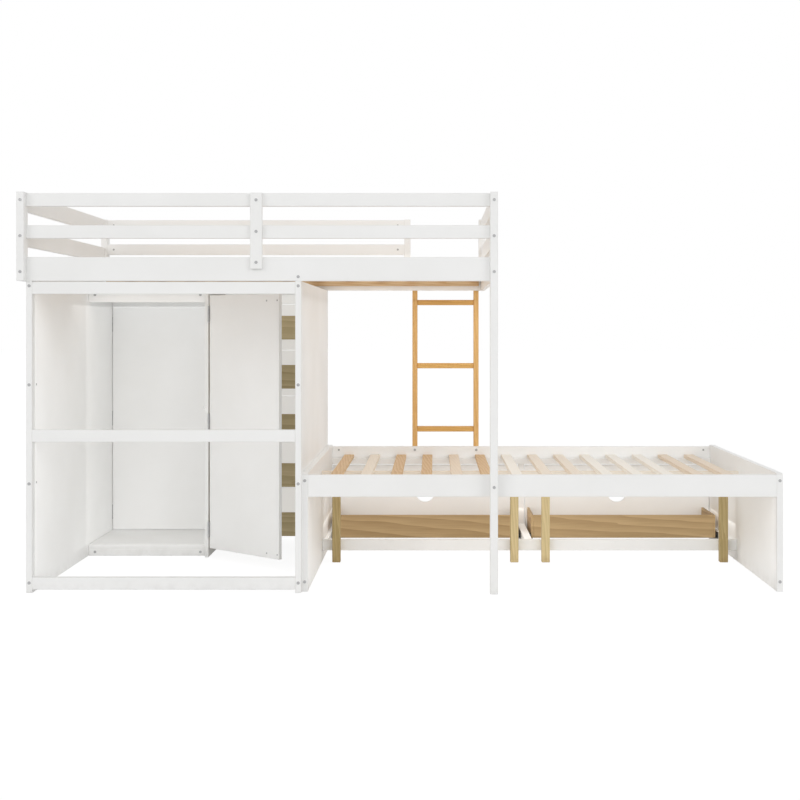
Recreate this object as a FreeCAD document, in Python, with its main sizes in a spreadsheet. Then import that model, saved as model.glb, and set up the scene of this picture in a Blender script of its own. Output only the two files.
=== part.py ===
import FreeCAD, Part
import os
import re

# Bunk bed: a raised bunk over a wardrobe with a stack of drawers, and beside it a low bed
# with two wide drawers. X runs along the beds, Y from the back to the front, Z is up.
# The origin is on the floor, under the middle of the whole object.

# Driving dimensions, in millimetres and degrees.
SIZES = {
    # Boards and posts
    "post_width": 32,
    "post_depth": 57,
    "rail_thick": 25,
    "panel_thick": 25,
    "front_thick": 18,
    "edge_break": 1.5,
    # Raised bunk
    "bunk_length": 2000,
    "bunk_clear_width": 1410,
    "bunk_base": 1302,
    "guard_height": 270,
    "bunk_rail_height": 100,
    "guard_rail_height": 55,
    "guard_drop": 3,
    "guard_mid_gap": 78,
    "front_guard_mid_gap": 86,
    "end_rail_thick": 20,
    "end_rail_height": 76,
    "end_mid_gap": 47,
    "batten_width": 50,
    "batten_thick": 20,
    "batten_offset": 937,
    "batten_lift": 50,
    "cleat_thick": 25,
    "bunk_cleat_height": 28,
    "bunk_slat_width": 57,
    "slat_thick": 18,
    "bunk_slat_lift": 51,
    # Wardrobe and drawer bay
    "wardrobe_length": 1148,
    "wardrobe_clear": 572,
    "partition_thick": 18,
    "partition_depth": 560,
    "stile_depth": 40,
    "base_depth": 510,
    "base_height": 55,
    "base_board_thick": 18,
    "plinth_thick": 18,
    "top_board_thick": 18,
    "header_height": 52,
    "door_header_height": 66,
    "back_rail_height": 51,
    "back_rail_mid_base": 630,
    "back_rail_low_base": 14,
    "back_rail_drop": 3,
    # Doors and their hinges
    "door_gap": 3,
    "rear_door_base": 45,
    "rear_door_drop": 38,
    "rear_door_open_angle": 42.2,
    "hinge_height": 76,
    "hinge_inset": 90,
    "leaf_thick": 1.2,
    "leaf_width": 16,
    "knuckle_radius": 4,
    "pin_radius": 2,
    "pin_clearance": 0.08,
    "hinge_gap": 0.6,
    # Drawer stack
    "stack_base": 37,
    "drawer_gap": 3,
    "tray_back_gap": 51,
    "stack_box_lift": 58,
    "stack_side_gap": 13,
    "runner_width": 20,
    "runner_height": 20,
    "runner_gap": 0.3,
    "box_wall": 12,
    "box_floor": 6,
    "box_floor_lift": 8,
    "stack_grip_radius": 40,
    "grip_lift": 5,
    "grip_drop": 18,
    "door_grip_inset": 12,
    "door_grip_height": 700,
    # Low bed
    "bed_length": 2017,
    "bed_panel_height": 498,
    "bed_panel_corner": 18,
    "bed_rail_base": 398,
    "bed_rail_height": 92,
    "bed_slat_lift": 32,
    "bed_cleat_height": 30,
    "bed_slat_width": 50,
    "bed_slat_margin": 88,
    "bed_slat_end_margin": 111,
    "leg_side": 38,
    "leg_setback": 789,
    "leg_end_inset": 68,
    "leg_pair_offset": 74,
    "beam_height": 58,
    "stretcher_base": 51,
    "stretcher_height": 51,
    # Wide drawers under the low bed
    "bed_front_base": 20,
    "bed_front_gap": 5,
    "bed_box_base": 58,
    "bed_box_height": 114,
    "bed_box_depth": 302,
    "slide_clearance": 1.3,
    "bed_grip_radius": 50,
    "bed_grip_lift": 28,
    "bearer_thick": 18,
    "bearer_height": 38,
    "bearer_top": 88,
    "bearer_gap": 2,
    "angle_thick": 1.5,
    "angle_height": 30,
    "angle_reach": 8,
    "angle_overhang": 10,
    "roller_radius": 11.5,
    "roller_width": 6,
    "roller_gap": 0.6,
    "roller_inset": 14,
    "axle_radius": 3,
    "axle_clearance": 0.08,
    "axle_collar_radius": 5,
    "axle_collar": 2,
    "axle_head": 1,
    # Ladder
    "ladder_gap": 10,
    "ladder_width": 346,
    "ladder_rail_width": 26,
    "ladder_depth": 57,
    "rung_depth": 45,
    "rung_height": 27,
    "rung_first": 565,
    "rung_pitch": 331,
    # Fasteners
    "bolt_head_radius": 6.5,
    "bolt_head_height": 2,
    "socket_radius": 2.6,
    "socket_depth": 1.4,
    "cap_radius": 5,
    "cap_height": 1,
    "panel_bolt_low": 42,
    "panel_bolt_drop": 20,
    "bed_bolt_drop": 32,
    "rail_bolt_lift": 38,
    "end_bolt_lift": 40,
    "header_bolt_drop": 16,
    "post_bolt_drop": 33,
    "bunk_bolt_lift": 18,
    "batten_bolt_lift": 27,
    "ladder_bolt_drop": 18,
    "screw_inset": 30,
    "nut_inset": 34,
    "nut_depth": 63,
}

# Places worked out from the driving dimensions.
PLACES = {
    "total_length": "post_width + wardrobe_length + bed_length",
    "front_depth": "post_depth + bunk_clear_width + rail_thick",
    "total_depth": "bolt_head_height + front_depth + ladder_depth",
    "left": "-total_length / 2",
    "back": "bolt_head_height - total_depth / 2",
    "front": "back + front_depth",
    "back_inner": "back + post_depth",
    "rail_back": "back_inner - rail_thick",
    "rail_front": "front - rail_thick",
    "post_front": "rail_front + post_depth",
    "stile_back": "rail_back + stile_depth",
    "stile_front": "front - stile_depth",
    "panel_front": "front - front_thick",
    "ward_left": "left + post_width",
    "ward_inner": "ward_left + panel_thick",
    "part_left": "ward_inner + wardrobe_clear",
    "part_right": "part_left + partition_thick",
    "ward_right": "ward_left + wardrobe_length",
    "bay_right": "ward_right - panel_thick",
    "bay_width": "bay_right - part_right",
    "bed_left": "ward_right + panel_thick",
    "bed_right": "ward_right + bed_length - panel_thick",
    "bed_clear": "bed_right - bed_left",
    "bed_middle": "(bed_left + bed_right) / 2",
    "bed_back": "back_inner + rail_thick",
    "bunk_right": "left + bunk_length",
    "bunk_end": "bunk_right - post_width",
    "bunk_clear": "bunk_end - ward_left",
    "ladder_left": "bunk_end - ladder_width",
    "guard_end": "ladder_left - ladder_gap",
    "front_guard_length": "guard_end - ward_left",
    "guard_base": "bunk_base + bunk_rail_height",
    "bunk_top": "guard_base + guard_height",
    "guard_top": "bunk_top - guard_drop",
    "guard_top_base": "guard_top - guard_rail_height",
    "guard_mid_base": "guard_base + guard_mid_gap",
    "front_guard_mid_base": "guard_base + front_guard_mid_gap",
    "end_mid_base": "guard_base + end_mid_gap",
    "batten_base": "bunk_base + batten_lift",
    "bunk_slat_base": "bunk_base + bunk_slat_lift",
    "partition_back": "front - partition_depth",
    "base_back": "front - base_depth",
    "stack_box_depth": "partition_depth - front_thick - tray_back_gap",
    "top_base": "bunk_base - top_board_thick",
    "header_base": "top_base - header_height",
    "door_header_base": "top_base - door_header_height",
    "front_door_base": "base_height + door_gap",
    "front_door_height": "door_header_base - door_gap - front_door_base",
    "front_door_width": "wardrobe_clear - 2 * door_gap",
    "rear_door_width": "bay_width - 2 * door_gap",
    "rear_door_height": "bunk_base - rear_door_drop - rear_door_base",
    "hinge_offset": "knuckle_radius + hinge_gap",
    "knuckle_height": "(hinge_height - 2 * hinge_gap) / 3",
    "leg_back": "back + leg_setback",
    "bed_slat_base": "bed_rail_base + bed_slat_lift",
    "bed_slat_span": "bed_clear - bed_slat_margin - bed_slat_end_margin",
    "bed_bolt_high": "bed_panel_height - bed_bolt_drop",
    "panel_bolt_high": "bunk_base - panel_bolt_drop",
    "stretcher_front": "leg_back + leg_side + rail_thick",
    "roller_place": "axle_collar + roller_gap",
    "axle_length": "axle_collar + roller_width + 2 * roller_gap + axle_head",
    "bed_slide_gap": "axle_length + slide_clearance + angle_thick",
    "bearer_left": "bed_middle - leg_side / 2",
    "bearer_right": "bed_middle + leg_side / 2",
    "centre_post_left": "bed_middle - post_width / 2",
    "bed_front_width": "(bed_clear - post_width) / 2 - 2 * drawer_gap",
    "bed_box_width": "bearer_left - bed_left - bearer_thick - 2 * bed_slide_gap",
    "bed_box_back": "panel_front - bed_box_depth",
    "angle_top": "bed_box_base - runner_gap",
    "angle_back": "bed_box_back - angle_overhang",
    "roller_height": "bed_box_base + roller_radius",
}

BUNK_SLATS = 12
BED_SLATS = 14
STACK_DRAWERS = 5
RUNGS = 3
PANEL_BOLTS = 4
BOX_EDGES = 12
SOCKET_SIDES = 6
QUARTER_TURN = 90
HALF_TURN = 180

doc = FreeCAD.newDocument("bunk_bed")
nodes = {}


def linked(text):
    """Write each named size or place in an expression as a reference to its sheet."""
    def owner(match):
        word = match.group(0)
        if word in SIZES:
            return "sizes." + word
        if word in PLACES:
            return "places." + word
        return word
    return re.sub(r"[a-z_]+", owner, text)


def make_sheet(name, rows):
    """Fill one sheet with a named cell for each row."""
    sheet = doc.addObject("Spreadsheet::Sheet", name)
    for row, (alias, value) in enumerate(rows.items(), start=1):
        sheet.set(f"A{row}", alias)
        sheet.set(f"B{row}", value)
        sheet.setAlias(f"B{row}", alias)
    return sheet


sizes = make_sheet("sizes", {alias: str(value) for alias, value in SIZES.items()})
places = make_sheet("places", {alias: "=" + linked(text) for alias, text in PLACES.items()})
doc.recompute()


def bind(piece, expressions):
    """Tie properties of a piece to named sizes and places."""
    for path, text in expressions.items():
        piece.setExpression(path, linked(str(text)))


def place(piece, x, y, z):
    """Tie where a piece stands to named places."""
    bind(piece, {"Placement.Base.x": x, "Placement.Base.y": y, "Placement.Base.z": z})


def turn(piece, axis, angle):
    """Turn a piece about an axis through its own base."""
    piece.Placement = FreeCAD.Placement(FreeCAD.Vector(), FreeCAD.Rotation(axis, angle))


def box(x, y, z, length, width, height):
    """A sharp-edged block with its lowest corner at x, y, z."""
    block = doc.addObject("Part::Box", "block")
    bind(block, {"Length": length, "Width": width, "Height": height})
    place(block, x, y, z)
    return block


def board(x, y, z, length, width, height):
    """A board with every edge eased."""
    block = box(x, y, z, length, width, height)
    block.recompute()
    eased = doc.addObject("Part::Chamfer", "board")
    eased.Base = block
    ease = sizes.edge_break
    eased.Edges = [(edge, ease, ease) for edge in range(1, BOX_EDGES + 1)]
    return eased


def cylinder(x, y, z, radius, height, axis="Z"):
    """A round bar from x, y, z along an axis: Z, X, front (+Y) or back (-Y)."""
    bar = doc.addObject("Part::Cylinder", "bar")
    bind(bar, {"Radius": radius, "Height": height})
    lay_along(bar, axis)
    place(bar, x, y, z)
    return bar


def lay_along(piece, axis):
    """Turn a piece that is made along Z to another direction."""
    if axis == "front":
        turn(piece, FreeCAD.Vector(1, 0, 0), -QUARTER_TURN)
    if axis == "back":
        turn(piece, FreeCAD.Vector(1, 0, 0), QUARTER_TURN)
    if axis == "X":
        turn(piece, FreeCAD.Vector(0, 1, 0), QUARTER_TURN)


def cut(base, *tools):
    """The base with every tool cut away."""
    for tool in tools:
        result = doc.addObject("Part::Cut", "cut")
        result.Base = base
        result.Tool = tool
        base = result
    return base


def fuse(*pieces):
    """Pieces joined into one solid."""
    joined = doc.addObject("Part::MultiFuse", "joined")
    joined.Shapes = list(pieces)
    return joined


def node(label, piece):
    """Name a sub-part that is one piece."""
    piece.Label = label
    nodes[label] = piece
    return piece


def group(label, *pieces):
    """Name a sub-part that is a group of separate pieces."""
    part = doc.addObject("Part::Compound", label)
    part.Links = list(pieces)
    return node(label, part)


def grip_cutter(x, z, radius):
    """A half-moon hand hole through a front panel, flat side up, centred on x and z."""
    half_moon = cylinder(x, "panel_front - edge_break", z, radius, "front_thick + 2 * edge_break", "front")
    half_moon.Angle = HALF_TURN
    return half_moon


def bunk_frame():
    """Posts, guard rails, bed rails, end rails and slats of the raised bunk."""
    post = ("post_width", "post_depth")
    short_posts = (("left", "back"), ("left", "rail_front"), ("bunk_end", "rail_front"))
    group("bunk_short_posts",
          *[board(x, y, "bunk_base", *post, "bunk_top - bunk_base") for x, y in short_posts])
    node("bunk_tall_post", board("bunk_end", "back", 0, *post, "bunk_top"))

    rail = ("bunk_clear", "rail_thick")
    group("bunk_back_guard_rails",
          *[board("ward_left", "rail_back", base, *rail, "guard_rail_height")
            for base in ("guard_top_base", "guard_mid_base")])
    node("bunk_back_bed_rail", board("ward_left", "rail_back", "bunk_base", *rail, "bunk_rail_height"))
    node("bunk_front_bed_rail", board("ward_left", "rail_front", "bunk_base", *rail, "bunk_rail_height"))
    node("bunk_back_guard_batten",
         board("ward_left + batten_offset", "rail_back - batten_thick", "batten_base",
               "batten_width", "batten_thick", "guard_top - batten_base"))
    front_rail = ("front_guard_length - post_width", "rail_thick", "guard_rail_height")
    group("bunk_front_guard_rails",
          *[board("ward_left", "rail_front", base, *front_rail)
            for base in ("guard_top_base", "front_guard_mid_base")])
    node("bunk_front_guard_end_post",
         board("guard_end - post_width", "rail_front", "guard_base",
               "post_width", "rail_thick", "guard_height"))

    end_rails = (
        ("bunk_top - end_rail_height", "end_rail_height"),
        ("end_mid_base", "end_rail_height"),
        ("bunk_base", "bunk_rail_height"),
    )
    for side, x in (("left", "left"), ("right", "bunk_right - end_rail_thick")):
        group(f"bunk_{side}_end_rails",
              *[board(x, "back_inner", base, "end_rail_thick", "bunk_clear_width", height)
                for base, height in end_rails])

    cleat_base = "bunk_slat_base - bunk_cleat_height"
    group("bunk_slat_cleats",
          *[board("ward_left", y, cleat_base, "bunk_clear", "cleat_thick", "bunk_cleat_height")
            for y in ("back_inner", "rail_front - cleat_thick")])
    step = f"bunk_clear / {BUNK_SLATS}"
    group("bunk_slats",
          *[board(f"bunk_end - bunk_slat_width - {count} * {step}", "back_inner", "bunk_slat_base",
                  "bunk_slat_width", "bunk_clear_width", "slat_thick")
            for count in range(BUNK_SLATS)])


def wardrobe_case():
    """Side panels, stiles, back rails, partition, base and top of the wardrobe and drawer bay."""
    panel = ("stile_back", 0, "panel_thick", "stile_front - stile_back", "bunk_base")
    node("wardrobe_left_panel", board("ward_left", *panel))
    node("wardrobe_right_panel", board("bay_right", *panel))
    group("wardrobe_stiles",
          *[board(x, y, 0, "panel_thick", "stile_depth", "bunk_base")
            for x in ("ward_left", "bay_right") for y in ("rail_back", "stile_front")])
    rail_bases = (
        "bunk_base - back_rail_drop - back_rail_height",
        "back_rail_mid_base",
        "back_rail_low_base",
    )
    group("wardrobe_back_rails",
          *[board("ward_inner", "rail_back", base, "bay_right - ward_inner", "rail_thick", "back_rail_height")
            for base in rail_bases])
    node("wardrobe_partition",
         board("part_left", "partition_back", 0,
               "partition_thick", "partition_depth", "top_base"))
    plinth_height = "base_height - base_board_thick"
    group("wardrobe_base",
          board("ward_inner", "base_back", plinth_height, "wardrobe_clear", "base_depth", "base_board_thick"),
          *[board("ward_inner", y, 0, "wardrobe_clear", "plinth_thick", plinth_height)
            for y in ("base_back", "front - plinth_thick")])
    group("wardrobe_top",
          board("ward_inner", "partition_back", "top_base",
                "bay_right - ward_inner", "partition_depth", "top_board_thick"),
          board("ward_inner", "base_back", "header_base",
                "wardrobe_clear", "plinth_thick", "header_height"),
          board("ward_inner", "front - plinth_thick", "door_header_base",
                "wardrobe_clear", "plinth_thick", "door_header_height"),
          board("part_right", "front - plinth_thick", "header_base",
                "bay_width", "plinth_thick", "header_height"))


def fixed_leaf(side, z):
    """Fixed half of a butt hinge about its pin: a leaf, two knuckles and the pin.

    The pin is the local Z axis, and the leaf lies on the given side of it along Y.
    """
    flap = "hinge_offset" if side == "front" else "-hinge_offset - leaf_width"
    neck = "0" if side == "front" else "-hinge_offset - hinge_gap"
    leaf = box("-door_gap / 2", flap, z, "leaf_thick", "leaf_width", "hinge_height")
    pieces = [leaf, cylinder(0, 0, z, "pin_radius", "hinge_height")]
    for foot in (z, f"{z} + hinge_height - knuckle_height"):
        pieces.append(cylinder(0, 0, foot, "knuckle_radius", "knuckle_height"))
        pieces.append(box("-door_gap / 2", neck, foot,
                          "leaf_thick", "hinge_offset + hinge_gap", "knuckle_height"))
    return fuse(*pieces)


def swinging_leaf(side, z):
    """Moving half of a butt hinge about its pin: a leaf and one bored knuckle."""
    flap = "hinge_offset" if side == "front" else "-hinge_offset - leaf_width"
    neck = "0" if side == "front" else "-hinge_offset - hinge_gap"
    edge = "door_gap / 2 - leaf_thick"
    foot = f"{z} + knuckle_height + hinge_gap"
    leaf = box(edge, flap, z, "leaf_thick", "leaf_width", "hinge_height")
    arm = box(edge, neck, foot, "leaf_thick", "hinge_offset + hinge_gap", "knuckle_height")
    barrel = cylinder(0, 0, foot, "knuckle_radius", "knuckle_height")
    bore = cylinder(0, 0, foot, "pin_radius + pin_clearance", "knuckle_height")
    return cut(fuse(leaf, arm, barrel), bore)


def hinge_feet(height):
    """Lower ends of three hinges, spread over a door of this height."""
    inset = "hinge_inset - hinge_height / 2"
    return (inset, f"({height} - hinge_height) / 2", f"{height} - hinge_height - ({inset})")


def front_door():
    """Front wardrobe door, set in flush, with three butt hinges on the left panel."""
    pivot = ("ward_inner + door_gap / 2", "front + hinge_offset", "front_door_base")
    feet = hinge_feet("front_door_height")
    fixed = group("front_door_hinge_leaves", *[fixed_leaf("back", foot) for foot in feet])
    place(fixed, *pivot)
    swinging = group("front_door_hinge_knuckles", *[swinging_leaf("back", foot) for foot in feet])
    place(swinging, *pivot)
    slab = board("ward_inner + door_gap", "panel_front", "front_door_base",
                 "front_door_width", "front_thick", "front_door_height")
    grip_x = "part_left - door_gap - door_grip_inset - stack_grip_radius"
    node("front_door", cut(slab, grip_cutter(grip_x, "door_grip_height", "stack_grip_radius")))


def rear_door():
    """Rear leaf of the drawer bay, hinged on the partition and standing part open."""
    pivot = ("part_right + door_gap / 2", "partition_back - hinge_offset", "rear_door_base")
    feet = hinge_feet("rear_door_height")
    fixed = group("rear_door_hinge_leaves", *[fixed_leaf("front", foot) for foot in feet])
    place(fixed, *pivot)
    swinging = group("rear_door_hinge_knuckles", *[swinging_leaf("front", foot) for foot in feet])
    slab = board("door_gap / 2", "hinge_offset", 0, "rear_door_width", "front_thick", "rear_door_height")
    leaf = group("rear_door", slab)
    for part in (swinging, leaf):
        turn(part, FreeCAD.Vector(0, 0, -1), sizes.rear_door_open_angle)
        bind(part, {"Placement.Rotation.Angle": "rear_door_open_angle"})
        place(part, *pivot)


def drawer_box(label, x, y, z, width, depth, height):
    """An open plywood tray behind a drawer front: two sides, a back and a floor."""
    inner = f"{width} - 2 * box_wall"
    group(label,
          board(x, y, z, "box_wall", depth, height),
          board(f"{x} + {width} - box_wall", y, z, "box_wall", depth, height),
          board(f"{x} + box_wall", y, z, inner, "box_wall", height),
          board(f"{x} + box_wall", f"{y} + box_wall", f"{z} + box_floor_lift",
                inner, f"{depth} - box_wall", "box_floor"))


def drawer_stack():
    """Five drawers between the partition and the right panel, on wooden runners."""
    step = f"(header_base - stack_base) / {STACK_DRAWERS}"
    box_x = "part_right + stack_side_gap"
    box_y = "panel_front - stack_box_depth"
    box_width = "bay_width - 2 * stack_side_gap"
    grip_room = "grip_lift + stack_grip_radius + grip_drop"
    box_height = f"{step} - drawer_gap - stack_box_lift - ({grip_room})"
    runners = []
    for count in range(STACK_DRAWERS):
        name = f"stack_drawer_{count + 1}"
        foot = f"stack_base + {STACK_DRAWERS - 1 - count} * {step}"
        box_z = f"{foot} + stack_box_lift"
        slab = board("part_right + drawer_gap", "panel_front", foot,
                     "bay_width - 2 * drawer_gap", "front_thick", f"{step} - drawer_gap")
        grip_z = f"{box_z} + {box_height} + grip_lift + stack_grip_radius"
        grip = grip_cutter("part_right + bay_width / 2", grip_z, "stack_grip_radius")
        node(f"{name}_front", cut(slab, grip))
        drawer_box(f"{name}_box", box_x, box_y, box_z, box_width, "stack_box_depth", box_height)
        for x in ("part_right", "bay_right - runner_width"):
            runners.append(board(x, box_y, f"{box_z} - runner_gap - runner_height",
                                 "runner_width", "stack_box_depth", "runner_height"))
    group("stack_runners", *runners)


def bed_stile(x, end):
    """Stile at one end of a low bed panel, with its outer top corner rounded."""
    y = "back_inner" if end == "back" else "stile_front"
    block = box(x, y, 0, "panel_thick", "stile_depth", "bed_panel_height")
    block.recompute()
    bounds = block.Shape.BoundBox
    outer = bounds.YMin if end == "back" else bounds.YMax
    corner = FreeCAD.Vector(bounds.Center.x, outer, bounds.ZMax)
    rounded = doc.addObject("Part::Fillet", "stile")
    rounded.Base = block
    radius = sizes.bed_panel_corner
    rounded.Edges = [(number, radius, radius) for number, edge in enumerate(block.Shape.Edges, start=1)
                     if edge.CenterOfMass.distanceToPoint(corner) < sizes.edge_break]
    return rounded


def low_bed():
    """End panels, stiles, rails, slats, centre beam, legs and stretcher of the low bed."""
    bed_stile_back = "back_inner + stile_depth"
    panel = (bed_stile_back, 0, "panel_thick", f"stile_front - ({bed_stile_back})", "bed_panel_height")
    node("bed_left_panel", board("ward_right", *panel))
    node("bed_right_panel", board("bed_right", *panel))
    group("bed_stiles",
          *[bed_stile(x, end) for x in ("ward_right", "bed_right") for end in ("back", "front")])
    rail = ("bed_clear", "rail_thick", "bed_rail_height")
    node("bed_back_rail", board("bed_left", "back_inner", "bed_rail_base", *rail))
    node("bed_front_rail", board("bed_left", "rail_front", "bed_rail_base", *rail))
    cleat = ("bed_slat_base - bed_cleat_height", "bed_clear", "cleat_thick", "bed_cleat_height")
    group("bed_slat_cleats",
          *[board("bed_left", y, *cleat) for y in ("bed_back", "rail_front - cleat_thick")])
    first = "bed_left + bed_slat_margin - bed_slat_width / 2"
    group("bed_slats",
          *[board(f"{first} + {count} * bed_slat_span / {BED_SLATS - 1}", "bed_back", "bed_slat_base",
                  "bed_slat_width", "rail_front - bed_back", "slat_thick")
            for count in range(BED_SLATS)])
    beam_base = "bed_slat_base - beam_height"
    node("bed_centre_beam", board("bed_left", "leg_back", beam_base, "bed_clear", "leg_side", "beam_height"))
    leg_middles = (
        "bed_left + leg_end_inset",
        "bed_middle - leg_pair_offset",
        "bed_middle + leg_pair_offset",
        "bed_right - leg_end_inset",
    )
    group("bed_centre_legs",
          *[board(f"{x} - leg_side / 2", "leg_back", 0, "leg_side", "leg_side", beam_base)
            for x in leg_middles])
    node("bed_stretcher",
         board("bed_left", "leg_back + leg_side", "stretcher_base",
               "bed_clear", "rail_thick", "stretcher_height"))


def drawer_supports():
    """Bearers from the stretcher to the front, and the post between the two drawer fronts."""
    bearer_base = "bearer_top - bearer_height"
    side = ("bearer_thick", "panel_front - bearer_gap - stretcher_front", "bearer_height")
    centre = ("leg_side", "rail_front - stretcher_front", "bearer_height")
    group("bed_drawer_supports",
          board("bed_left", "stretcher_front", bearer_base, *side),
          board("bearer_left", "stretcher_front", bearer_base, *centre),
          board("bed_right - bearer_thick", "stretcher_front", bearer_base, *side),
          board("centre_post_left", "rail_front", 0, "post_width", "rail_thick", "bed_rail_base"))
    group("bed_drawer_runners",
          angle_runner("bed_left + bearer_thick", "right"),
          angle_runner("bearer_left", "left"),
          angle_runner("bearer_right", "right"),
          angle_runner("bed_right - bearer_thick", "left"))


def angle_runner(x, facing):
    """A steel angle on a bearer's face at x, its lower flange under a tray wall on the facing side."""
    length = "panel_front - bearer_gap - angle_back"
    reach = "bed_slide_gap + angle_reach"
    web_x = x if facing == "right" else f"{x} - angle_thick"
    flange_x = x if facing == "right" else f"{x} - ({reach})"
    foot = "angle_top - angle_thick"
    web = box(web_x, "angle_back", foot, "angle_thick", length, "angle_height")
    flange = box(flange_x, "angle_back", foot, reach, length, "angle_thick")
    return fuse(web, flange)


def beside(sides, start, length):
    """Where two pieces begin that lie outside a tray's left and right walls, from start over a length."""
    box_left, box_right = sides
    return (f"{box_left} - ({start}) - ({length})", f"{box_right} + {start}")


def axles(sides):
    """Axles of the two rollers at the back of a tray, each with a collar and a head."""
    y = "bed_box_back + roller_inset"
    steps = (
        ("0", "axle_length", "axle_radius"),
        ("0", "axle_collar", "axle_collar_radius"),
        ("axle_length - axle_head", "axle_head", "axle_collar_radius"),
    )
    turned = [[], []]
    for start, length, radius in steps:
        for pieces, x in zip(turned, beside(sides, start, length)):
            pieces.append(cylinder(x, y, "roller_height", radius, length, "X"))
    return [fuse(*pieces) for pieces in turned]


def rollers(sides):
    """The two rollers at the back of a tray, bored for their axles."""
    y = "bed_box_back + roller_inset"
    made = []
    for x in beside(sides, "roller_place", "roller_width"):
        disc = cylinder(x, y, "roller_height", "roller_radius", "roller_width", "X")
        bore = cylinder(x, y, "roller_height", "axle_radius + axle_clearance", "roller_width", "X")
        made.append(cut(disc, bore))
    return made


def bed_drawer(side, front_left, box_left):
    """One wide drawer: a tall front and a shallow tray with a roller at each back corner."""
    name = f"bed_drawer_{side}"
    front_height = "bed_rail_base - bed_front_gap - bed_front_base"
    slab = board(front_left, "panel_front", "bed_front_base", "bed_front_width", "front_thick", front_height)
    grip_z = "bed_box_base + bed_box_height + bed_grip_lift + bed_grip_radius"
    grip = grip_cutter(f"{front_left} + bed_front_width / 2", grip_z, "bed_grip_radius")
    node(f"{name}_front", cut(slab, grip))
    drawer_box(f"{name}_box", box_left, "bed_box_back", "bed_box_base",
               "bed_box_width", "bed_box_depth", "bed_box_height")
    sides = (box_left, f"{box_left} + bed_box_width")
    group(f"{name}_axles", *axles(sides))
    group(f"{name}_rollers", *rollers(sides))


def ladder():
    """Two upright rails on the front bed rails, and the rungs between them."""
    rail_height = "guard_base - bed_rail_base"
    group("ladder_rails",
          *[board(x, "front", "bed_rail_base", "ladder_rail_width", "ladder_depth", rail_height)
            for x in ("ladder_left", "ladder_left + ladder_width - ladder_rail_width")])
    group("ladder_rungs",
          *[board("ladder_left + ladder_rail_width", "front + (ladder_depth - rung_depth) / 2",
                  f"rung_first + {count} * rung_pitch",
                  "ladder_width - 2 * ladder_rail_width", "rung_depth", "rung_height")
            for count in range(RUNGS)])


def bolt_head(x, y, z, facing):
    """A low round bolt head with a hexagon socket, seated on a face."""
    head = cylinder(x, y, z, "bolt_head_radius", "bolt_head_height", facing)
    socket = doc.addObject("Part::Prism", "socket")
    socket.Polygon = SOCKET_SIDES
    bind(socket, {"Circumradius": "socket_radius", "Height": "bolt_head_height"})
    lay_along(socket, facing)
    away = "-" if facing == "back" else "+"
    place(socket, x, f"{y} {away} (bolt_head_height - socket_depth)", z)
    return cut(head, socket)


def fasteners():
    """Bolt heads where rails and panels are bolted, and caps over the cross nuts."""
    bolts = []
    left_post = "left + post_width / 2"
    right_post = "bunk_right - post_width / 2"
    post_heights = (
        "bunk_top - post_bolt_drop",
        "end_mid_base + end_bolt_lift",
        "bunk_base + rail_bolt_lift",
    )
    for x in (left_post, right_post):
        for z in post_heights:
            bolts.append(bolt_head(x, "back", z, "back"))
            bolts.append(bolt_head(x, "post_front", z, "front"))
    bolts.append(bolt_head(right_post, "back", "bed_rail_base + bed_rail_height / 2", "back"))

    batten_heights = (
        "bunk_top - post_bolt_drop",
        "guard_mid_base + guard_rail_height / 2",
        "batten_base + batten_bolt_lift",
    )
    batten_middle = "ward_left + batten_offset + batten_width / 2"
    for z in batten_heights:
        bolts.append(bolt_head(batten_middle, "rail_back - batten_thick", z, "back"))

    panel_step = f"(panel_bolt_high - panel_bolt_low) / {PANEL_BOLTS - 1}"
    panel_heights = [f"panel_bolt_low + {count} * {panel_step}" for count in range(PANEL_BOLTS)]
    for x in ("ward_left + panel_thick / 2", "bay_right + panel_thick / 2"):
        for z in panel_heights:
            bolts.append(bolt_head(x, "rail_back", z, "back"))
            bolts.append(bolt_head(x, "front", z, "front"))
    bolts.append(bolt_head("bay_right + panel_thick / 2", "rail_back", "bunk_base + bunk_bolt_lift", "back"))
    for x in ("ward_right + panel_thick / 2", "bed_right + panel_thick / 2"):
        for z in ("panel_bolt_low", "bed_bolt_high"):
            bolts.append(bolt_head(x, "back_inner", z, "back"))
            bolts.append(bolt_head(x, "front", z, "front"))

    ladder_middle = "ladder_left + ladder_rail_width / 2"
    ladder_height = "bed_rail_base + bed_rail_height - ladder_bolt_drop"
    for x in (ladder_middle, f"{ladder_middle} + ladder_width - ladder_rail_width"):
        bolts.append(bolt_head(x, "rail_front", ladder_height, "back"))
    for x in ("ward_inner + screw_inset", "part_left - screw_inset"):
        for z in ("(base_height - base_board_thick) / 2", "top_base - header_bolt_drop"):
            bolts.append(bolt_head(x, "base_back", z, "back"))
    group("bolt_heads", *bolts)

    caps = []
    for x in ("ward_left + nut_inset", "guard_end - post_width - nut_inset"):
        for z in ("guard_top_base + guard_rail_height / 2", "front_guard_mid_base + guard_rail_height / 2"):
            caps.append(cylinder(x, "rail_front", z, "cap_radius", "cap_height", "back"))
    for x in ("bed_left + nut_inset", "bed_right - nut_inset"):
        caps.append(cylinder(x, "rail_front", ladder_height, "cap_radius", "cap_height", "back"))
    for z in panel_heights[1:-1]:
        caps.append(cylinder("ward_inner", "rail_back + nut_depth", z, "cap_radius", "cap_height", "X"))
    group("nut_caps", *caps)


bunk_frame()
wardrobe_case()
front_door()
rear_door()
drawer_stack()
low_bed()
drawer_supports()
bed_drawer("left", "bed_left + drawer_gap", "bed_left + bearer_thick + bed_slide_gap")
bed_drawer("right", "centre_post_left + post_width + drawer_gap", "bearer_right + bed_slide_gap")
ladder()
fasteners()
doc.recompute()

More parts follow.
